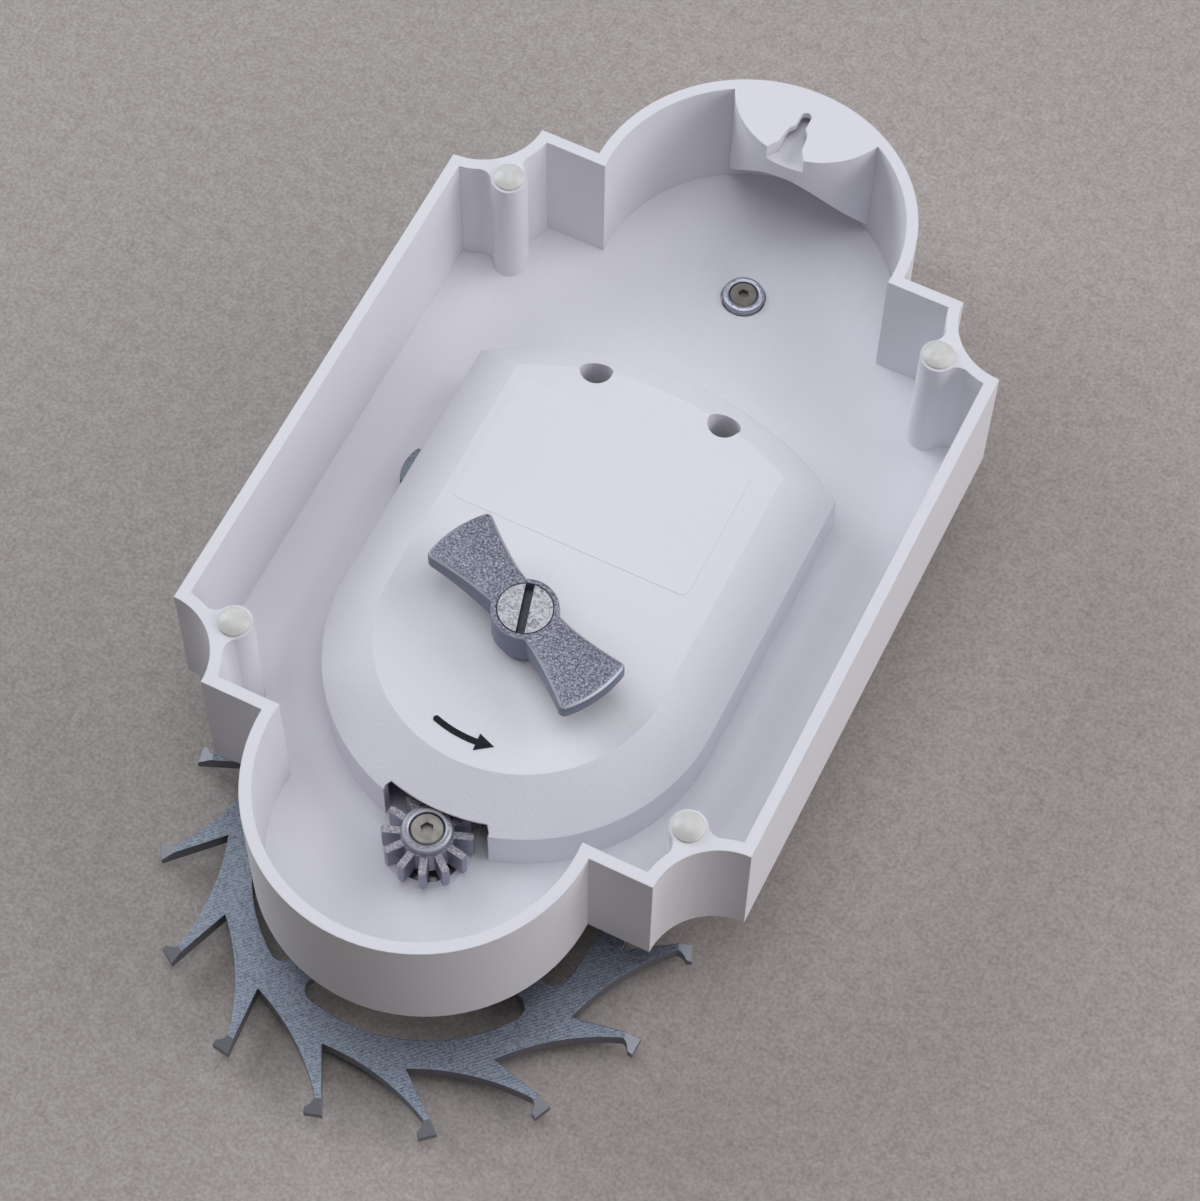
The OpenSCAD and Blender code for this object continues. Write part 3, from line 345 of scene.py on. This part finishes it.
def silver_print(name, tones, style, flat_from):
    """Silver print: grained or rastered level faces, rounded edges in one plain colour (a painted highlight
    on the key and the pinion), layered walls.
    """
    dark, light, edge, side = tones
    material, tree, shader = new_material(name)
    share = flat_share(tree, flat_from, 0.98)
    layers = noise(tree, stretched(tree, SILVER_LAYERS), 1.0, 2.0)
    sparkle = noise(tree, place(tree), SILVER_SPARKLE, 2.0, 0.7)
    if style == "grain":
        face = noise(tree, place(tree), SILVER_GRAIN, 2.0, 0.8)
        depth = 0.24 * MM
        start, end = 0.44, 0.70
    else:
        slant = math.radians(45)
        lines = bands(tree, stretched(tree, (1, 1, 1), slant), RASTER_PERIOD, "X", 0.8)
        cross = noise(tree, stretched(tree, RASTER_CROSS, slant), 1.0, 2.0, 0.6)
        face = weigh(tree, lines, 0.13, cross)
        depth = 0.07 * MM
        start, end = 0.34, 0.60
    height = between(tree, share, face, calc(tree, "MULTIPLY", layers, 0.3))
    flake = weigh(tree, sparkle, 0.4, face)
    layered = blend(tree, layers, scaled(side, 0.78), side, 0.35, 0.65)
    # Rounded and sloped faces take the plain edge colour, which is a painted highlight on the key and the
    # pinion
    wall = pick(tree, flat_share(tree, 0.30, 0.75), layered, edge)
    flat = blend(tree, flake, dark, light, start, end)
    feed(tree, pick(tree, share, wall, flat), shader.inputs["Base Color"])
    feed(tree, spread(tree, sparkle, 0.30, 0.50), shader.inputs["Roughness"])
    shader.inputs["Metallic"].default_value = 0.55
    relief(tree, shader, height, depth, 0.3 * MM)
    return material


def silver_foil(name, dark, light, shade_from, shade_to):
    """Silver print with a crumpled, bright end face, and painted shade, streaked along the layers, on the
    walls of a slot between two heights.
    """
    material, tree, shader = new_material(name)
    crease = noise(tree, place(tree), FOIL_CREASES, 4.0, 0.62, 1.8)
    layers = noise(tree, stretched(tree, SILVER_LAYERS), 1.0, 2.0)
    height = between(tree, flat_share(tree), crease, layers)
    # Painted shade: everything between the two heights is coloured dark, as the slot's recess would be in
    # shade
    parts = add(tree, "ShaderNodeSeparateXYZ")
    tree.links.new(place(tree), parts.inputs[0])
    below = calc(tree, "LESS_THAN", parts.outputs["Z"], shade_to)
    above = calc(tree, "GREATER_THAN", parts.outputs["Z"], shade_from)
    slot_shade_share = calc(tree, "MULTIPLY", below, above)
    skin_colour = blend(tree, height, dark, light, 0.34, 0.58)
    slot_shade_colour = blend(tree, layers, SLOT_PAINTED_SHADE, WHEEL_DARK, 0.35, 0.75)
    feed(tree, pick(tree, slot_shade_share, skin_colour, slot_shade_colour), shader.inputs["Base Color"])
    feed(tree, spread(tree, crease, 0.28, 0.46), shader.inputs["Roughness"])
    shader.inputs["Metallic"].default_value = 0.6
    relief(tree, shader, height, 0.16 * MM, 0.2 * MM)
    return material


def turned_metal(name, colour, low, high):
    """Turned metal: fine rings of tool marks and a slightly uneven polish."""
    material, tree, shader = new_material(name)
    cloud = noise(tree, place(tree), METAL_CLOUDS, 3.0)
    marks = noise(tree, stretched(tree, TOOL_MARKS), 1.0, 2.0)
    feed(tree, blend(tree, cloud, scaled(colour, 0.72), colour, 0.3, 0.6), shader.inputs["Base Color"])
    feed(tree, spread(tree, marks, low, high), shader.inputs["Roughness"])
    shader.inputs["Metallic"].default_value = 1.0
    relief(tree, shader, marks, 0.01 * MM)
    return material


def soft_black(name, colour, low, high, grain_scale, specular):
    """Black rubber or ink with a fine grain."""
    material, tree, shader = new_material(name)
    grain = noise(tree, place(tree), grain_scale, 3.0, 0.6)
    feed(tree, blend(tree, grain, colour, scaled(colour, 2.4), 0.45, 0.75), shader.inputs["Base Color"])
    feed(tree, spread(tree, grain, low, high), shader.inputs["Roughness"])
    shader.inputs["Specular IOR Level"].default_value = specular
    relief(tree, shader, grain, 0.05 * MM)
    return material


def label_film(name):
    """Bare white film, smoother than the print under it."""
    material, tree, shader = new_material(name)
    grain = noise(tree, place(tree), FILM_GRAIN, 3.0, 0.5)
    feed(tree, blend(tree, grain, WHITE, FILM, 0.35, 0.65), shader.inputs["Base Color"])
    feed(tree, spread(tree, grain, 0.44, 0.58), shader.inputs["Roughness"])
    shader.inputs["Specular IOR Level"].default_value = 0.35
    relief(tree, shader, grain, 0.02 * MM)
    return material


def clear_silicone(name):
    """Clear soft dome, a little cloudy inside."""
    material, tree, shader = new_material(name)
    cloud = noise(tree, place(tree), SILICONE_CLOUDS, 3.0)
    feed(tree, blend(tree, cloud, SILICONE_SHADE, SILICONE, 0.3, 0.7), shader.inputs["Base Color"])
    feed(tree, spread(tree, cloud, 0.16, 0.30), shader.inputs["Roughness"])
    shader.inputs["Transmission Weight"].default_value = 0.12
    shader.inputs["IOR"].default_value = 1.41
    relief(tree, shader, cloud, 0.03 * MM)
    return material


def ruby_stone(name):
    """Polished red stone, a little uneven in colour."""
    material, tree, shader = new_material(name)
    cloud = noise(tree, place(tree), RUBY_CLOUDS, 3.0)
    feed(tree, blend(tree, cloud, RUBY_SHADE, RUBY, 0.3, 0.7), shader.inputs["Base Color"])
    feed(tree, spread(tree, cloud, 0.06, 0.14), shader.inputs["Roughness"])
    shader.inputs["Coat Weight"].default_value = 0.4
    return material


case_white = white_print("case_white", 0.05 * MM, True, 1.0, 0.90)
cover_white = white_print("cover_white", 0.11 * MM, False, 0.5, 0.70)
wheel_tones = (WHEEL_DARK, WHEEL_LIGHT, WHEEL_EDGE, WHEEL_SIDE)
key_tones = (KEY_DARK, KEY_LIGHT, KEY_EDGE_HIGHLIGHT, KEY_SIDE)
pinion_tones = (PINION_DARK, PINION_LIGHT, PINION_EDGE_HIGHLIGHT, PINION_SIDE)
silver_raster = silver_print("silver_raster", wheel_tones, "raster", 0.93)
silver_grain = silver_print("silver_grain", key_tones, "grain", 0.60)
silver_pinion = silver_print("silver_pinion", pinion_tones, "grain", 0.93)
arbor_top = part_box("winding_arbor")[1].z
bush_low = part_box("balance_bush")[0].z
slot_low = arbor_top - SLOT_FLOOR
slot_high = arbor_top - SLOT_LIP
arbor_foil = silver_foil("arbor_foil", ARBOR_DARK, ARBOR_LIGHT, slot_low, slot_high)
# The bush has no slot, so the heights of its painted slot shade lie below it
bush_foil = silver_foil("bush_foil", BUSH_DARK, BUSH_LIGHT, bush_low - 2 * MM, bush_low - 1 * MM)
screw_steel = turned_metal("screw_steel", STEEL, 0.36, 0.50)
bearing_steel = turned_metal("bearing_steel", BEARING_STEEL, 0.14, 0.26)
blued_steel = turned_metal("blued_steel", BLUED_STEEL, 0.20, 0.34)
brass = turned_metal("brass", BRASS, 0.20, 0.34)
seal_rubber = soft_black("seal_rubber", RUBBER, 0.45, 0.65, RUBBER_GRAIN, 0.5)
arrow_ink = soft_black("arrow_ink", INK, 0.65, 0.85, INK_GRAIN, 0.12)
film = label_film("label_film")
silicone = clear_silicone("clear_silicone")
ruby = ruby_stone("ruby_stone")

MATERIAL_OF_SLOT = {
    "white_print": case_white,
    "silver_print": silver_raster,
    "screw_steel": screw_steel,
    "bearing_steel": bearing_steel,
    "seal_rubber": seal_rubber,
    "clear_silicone": silicone,
    "label_film": film,
    "arrow_black": arrow_ink,
    "spring_steel": blued_steel,
    "ruby": ruby,
    "brass": brass,
}
MATERIAL_OF_NODE = {
    "spring_cover": cover_white,
    "winding_arbor": arbor_foil,
    "balance_bush": bush_foil,
    "escape_pinion": silver_pinion,
    "winding_key": silver_grain,
}
for part in frame["record"]["subparts"]:
    node = frame["nodes"][part["node"]]
    material = MATERIAL_OF_NODE.get(part["node"], MATERIAL_OF_SLOT[part["material_slot"]])
    node.data.materials.clear()
    node.data.materials.append(material)


# Winding key with rounded edges

def meet(first_r, second_at, second_r):
    """Outer crossing of a circle about the hub with another circle."""
    reach = second_at.length
    along = (first_r ** 2 - second_r ** 2 + reach ** 2) / (2 * reach)
    across = math.sqrt(first_r ** 2 - along ** 2)
    forward = second_at / reach
    return along * forward + across * Vector((forward.y, -forward.x))


def key_outline():
    """Plan of hub and wings, the long way along X, as a closed loop of points."""
    tip_r = KEY_LENGTH / 2
    waist = Vector((KEY_HUB_R - KEY_WAIST_INSET, KEY_WAIST_WIDTH / 2))
    corner = Vector((tip_r, KEY_TIP_WIDTH / 2))
    side = corner - waist
    hollow_r = side.length_squared / (8 * KEY_SIDE_HOLLOW) + KEY_SIDE_HOLLOW / 2
    outward = Vector((-side.y, side.x)).normalized()
    middle = (waist + corner) / 2 + (hollow_r - KEY_SIDE_HOLLOW) * outward

    def side_y(x):
        """Y of the hollow side."""
        return middle.y - math.sqrt(hollow_r ** 2 - (x - middle.x) ** 2)

    def crossing(radius):
        """X at which the hollow side meets a circle about the hub."""
        low, high = 0.0, radius
        for _ in range(50):
            x = (low + high) / 2
            if x * x + side_y(x) ** 2 < radius * radius:
                low = x
            else:
                high = x
        return low

    # Small round at the corner of a wing: it touches the tip from inside and the hollow side from outside
    round_at = meet(tip_r - KEY_CORNER_R, middle, hollow_r + KEY_CORNER_R)
    on_tip = round_at.normalized() * tip_r
    on_side = middle + (round_at - middle).normalized() * hollow_r
    from_turn = math.atan2(on_side.y - round_at.y, on_side.x - round_at.x)
    to_turn = math.atan2(on_tip.y - round_at.y, on_tip.x - round_at.x)
    side_steps, arc_steps, corner_steps = 16, 14, 6
    x_hub = crossing(KEY_HUB_R)
    rising = []
    for step in range(side_steps + 1):
        x = x_hub + (on_side.x - x_hub) * step / side_steps
        rising.append(Vector((x, side_y(x))))
    for step in range(1, corner_steps + 1):
        turn = from_turn + (to_turn - from_turn) * step / corner_steps
        rising.append(round_at + KEY_CORNER_R * Vector((math.cos(turn), math.sin(turn))))
    tip_turn = math.atan2(on_tip.y, on_tip.x)
    hub_turn = math.atan2(rising[0].y, rising[0].x)
    half = [Vector((point.x, -point.y)) for point in rising]
    for step in range(1, arc_steps):
        turn = tip_turn * (2 * step / arc_steps - 1)
        half.append(tip_r * Vector((math.cos(turn), math.sin(turn))))
    half += list(reversed(rising))
    for step in range(1, arc_steps):
        turn = hub_turn + (math.pi - 2 * hub_turn) * step / arc_steps
        half.append(KEY_HUB_R * Vector((math.cos(turn), math.sin(turn))))
    return half + [-point for point in half]


def inset(loop, distances):
    """A closed loop moved inwards by a distance for each point, its corners mitred."""
    moved = []
    for index, point in enumerate(loop):
        before = (point - loop[index - 1]).normalized()
        after = (loop[(index + 1) % len(loop)] - point).normalized()
        inward = Vector((-before.y - after.y, before.x + after.x)).normalized()
        across = max(0.5, inward.dot(Vector((-before.y, before.x))))
        moved.append(point + inward * distances[index] / across)
    return moved


def add_loop(mesh, points, heights):
    """A ring of points at the given heights."""
    return [mesh.verts.new((point.x, point.y, height)) for point, height in zip(points, heights)]


def skin(mesh, lower, upper):
    """Faces between two rings with the same number of points."""
    count = len(lower)
    for index in range(count):
        following = (index + 1) % count
        mesh.faces.new((lower[index], lower[following], upper[following], upper[index]))


def cap(mesh, outer, inner):
    """A level face between an outer ring and a hole."""
    edges = []
    for ring in (outer, inner):
        for index, corner in enumerate(ring):
            pair = (corner, ring[(index + 1) % len(ring)])
            edges.append(mesh.edges.get(pair) or mesh.edges.new(pair))
    bmesh.ops.triangle_fill(mesh, edges=edges, use_beauty=True)


def ring_points(radius, count):
    """Points round a circle."""
    turns = [2 * math.pi * step / count for step in range(count)]
    return [radius * Vector((math.cos(turn), math.sin(turn))) for turn in turns]


def make_key():
    """The key, its wings thinner from below towards the tips, round on top."""
    key_low, key_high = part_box("winding_key")
    arbor_low, arbor_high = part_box("winding_arbor")
    top, bottom = key_high.z, key_low.z
    mesh = bmesh.new()
    outline = key_outline()
    tip_r = KEY_LENGTH / 2
    under, edges = [], []
    for point in outline:
        share = min(1.0, max(0.0, (abs(point.x) - KEY_HUB_R) / (tip_r - KEY_HUB_R)))
        under.append(top - KEY_ROOT_T + (KEY_ROOT_T - KEY_TIP_T) * share)
        share = min(1.0, max(0.0, (point.length - KEY_HUB_R - KEY_GAP) / KEY_EDGE_RUN))
        edges.append(KEY_HUB_EDGE_R + (KEY_EDGE_R - KEY_HUB_EDGE_R) * share)
    first = add_loop(mesh, inset(outline, [KEY_LOW_EDGE] * len(outline)), under)
    rings = [first, add_loop(mesh, outline, [height + KEY_LOW_EDGE for height in under])]
    round_steps = 5
    for step in range(round_steps + 1):
        turn = math.pi / 2 * step / round_steps
        levels = [top - edge * (1 - math.sin(turn)) for edge in edges]
        loop = inset(outline, [edge * (1 - math.cos(turn)) for edge in edges]) if step else outline
        rings.append(add_loop(mesh, loop, levels))
    for lower, upper in zip(rings, rings[1:]):
        skin(mesh, lower, upper)
    # Bore, with a fine groove where the arbor comes through
    count = KEY_ROUND_POINTS
    bore = ring_points(KEY_BORE_R, count)
    lip = ring_points(KEY_BORE_R + KEY_GROOVE_W, count)
    lip_top = add_loop(mesh, lip, [top] * count)
    bore_top = add_loop(mesh, bore, [top - KEY_GROOVE_DEPTH] * count)
    bore_low = add_loop(mesh, bore, [top - KEY_ROOT_T] * count)
    skin(mesh, lip_top, bore_top)
    skin(mesh, bore_top, bore_low)
    cap(mesh, rings[-1], lip_top)
    cap(mesh, first, bore_low)
    # Hub below the wings
    hub = ring_points(KEY_HUB_R - KEY_GAP, count)
    hub_top = top - KEY_ROOT_T + KEY_HUB_OVERLAP
    hub_high = add_loop(mesh, hub, [hub_top] * count)
    hub_low = add_loop(mesh, hub, [bottom] * count)
    hub_bore = add_loop(mesh, bore, [bottom] * count)
    hub_bore_high = add_loop(mesh, bore, [hub_top] * count)
    skin(mesh, hub_low, hub_high)
    skin(mesh, hub_bore_high, hub_bore)
    cap(mesh, hub_low, hub_bore)
    cap(mesh, hub_high, hub_bore_high)
    bmesh.ops.recalc_face_normals(mesh, faces=mesh.faces)
    data = bpy.data.meshes.new("winding_key_round")
    mesh.to_mesh(data)
    mesh.free()
    middle = (arbor_low + arbor_high) / 2
    turn = Euler((0.0, 0.0, math.radians(KEY_TURN_DEG))).to_matrix().to_4x4()
    turn.translation = Vector((middle.x, middle.y, 0.0))
    data.transform(turn)
    data.shade_smooth()
    data.set_sharp_from_angle(angle=math.radians(KEY_SMOOTH_DEG))
    data.materials.append(silver_grain)
    key = bpy.data.objects.new("winding_key_round", data)
    bpy.context.scene.collection.objects.link(key)
    return key


key = make_key()
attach(key, "winding")
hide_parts("winding_key")


# Floor, light and camera

def backdrop_rays(tree):
    """1 for what the camera sees straight, in metal or through glass."""
    path = add(tree, "ShaderNodeLightPath")
    seen = calc(tree, "MAXIMUM", path.outputs["Is Camera Ray"], path.outputs["Is Glossy Ray"])
    return calc(tree, "MAXIMUM", seen, path.outputs["Is Transmission Ray"])


def make_floor():
    """A wide matt floor with fine flecks, under the lowest piece."""
    half = FLOOR_HALF
    level = cad_low.z - FLOOR_DROP
    data = bpy.data.meshes.new("floor")
    corners = [(-half, -half, level), (half, -half, level), (half, half, level), (-half, half, level)]
    data.from_pydata(corners, [], [(0, 1, 2, 3)])
    material, tree, shader = new_material("floor_matt")
    fleck = noise(tree, place(tree), FLOOR_FLECKS, 3.0, 0.6)
    mottle = noise(tree, place(tree), FLOOR_MOTTLE, 3.0, 0.6)
    tone = weigh(tree, fleck, 0.7, mottle)
    feed(tree, blend(tree, tone, FLOOR_FLECK, FLOOR_PALE, 0.33, 0.67), shader.inputs["Base Color"])
    shader.inputs["Roughness"].default_value = 0.9
    # Far from the object the floor runs into the backdrop
    away = add(tree, "ShaderNodeVectorMath", operation="LENGTH")
    tree.links.new(place(tree), away.inputs[0])
    rise = add(tree, "ShaderNodeMapRange", interpolation_type="SMOOTHSTEP")
    rise.inputs["From Min"].default_value = FADE_FROM
    rise.inputs["From Max"].default_value = FADE_TO
    tree.links.new(away.outputs["Value"], rise.inputs["Value"])
    glow = add(tree, "ShaderNodeEmission")
    feed(tree, blend(tree, rise.outputs[0], FLOOR_LIT, BACKDROP), glow.inputs["Color"])
    mix = add(tree, "ShaderNodeMixShader")
    quick = calc(tree, "MINIMUM", calc(tree, "MULTIPLY", rise.outputs[0], FADE_SPEED), 1.0)
    tree.links.new(calc(tree, "MULTIPLY", quick, backdrop_rays(tree)), mix.inputs[0])
    tree.links.new(shader.outputs[0], mix.inputs[1])
    tree.links.new(glow.outputs[0], mix.inputs[2])
    tree.links.new(mix.outputs[0], tree.nodes["Material Output"].inputs["Surface"])
    data.materials.append(material)
    floor = bpy.data.objects.new("floor", data)
    bpy.context.scene.collection.objects.link(floor)


def make_lamp(name, direction, power, colour):
    """A soft square lamp that looks at the middle of the case."""
    away = Vector(direction).normalized()
    data = bpy.data.lights.new(name, "AREA")
    data.shape = "SQUARE"
    data.size = LAMP_SIZE
    data.energy = power
    data.color = colour
    lamp = bpy.data.objects.new(name, data)
    lamp.location = Vector(LAMP_TARGET) + LAMP_DISTANCE * away
    lamp.rotation_euler = away.to_track_quat("Z", "Y").to_euler()
    bpy.context.scene.collection.objects.link(lamp)


def make_world():
    """Even soft light, with a plain pale backdrop for the camera and for reflections."""
    world = bpy.data.worlds.new("studio")
    world.use_nodes = True
    tree = world.node_tree
    tree.nodes.clear()
    out = add(tree, "ShaderNodeOutputWorld")
    even = add(tree, "ShaderNodeBackground")
    even.inputs["Color"].default_value = WORLD_COLOUR
    even.inputs["Strength"].default_value = WORLD_STRENGTH
    backdrop = add(tree, "ShaderNodeBackground")
    backdrop.inputs["Color"].default_value = BACKDROP
    mix = add(tree, "ShaderNodeMixShader")
    tree.links.new(backdrop_rays(tree), mix.inputs[0])
    tree.links.new(even.outputs[0], mix.inputs[1])
    tree.links.new(backdrop.outputs[0], mix.inputs[2])
    tree.links.new(mix.outputs[0], out.inputs[0])
    bpy.context.scene.world = world


def make_camera():
    """The camera of the photograph."""
    data = bpy.data.cameras.new("camera")
    data.sensor_fit = "HORIZONTAL"
    data.sensor_width = CAMERA_SENSOR_MM
    data.lens = CAMERA_LENS_MM
    data.clip_start, data.clip_end = CAMERA_CLIP
    camera = bpy.data.objects.new("camera", data)
    camera.location = CAMERA_AT
    camera.rotation_euler = Euler([math.radians(turn) for turn in CAMERA_TURN_DEG])
    bpy.context.scene.collection.objects.link(camera)
    bpy.context.scene.camera = camera


make_floor()
make_world()
for lamp_name, lamp_from, lamp_watts, lamp_colour in LAMPS:
    make_lamp(lamp_name, lamp_from, lamp_watts, lamp_colour)
make_camera()
bpy.context.scene.view_settings.view_transform = "Standard"
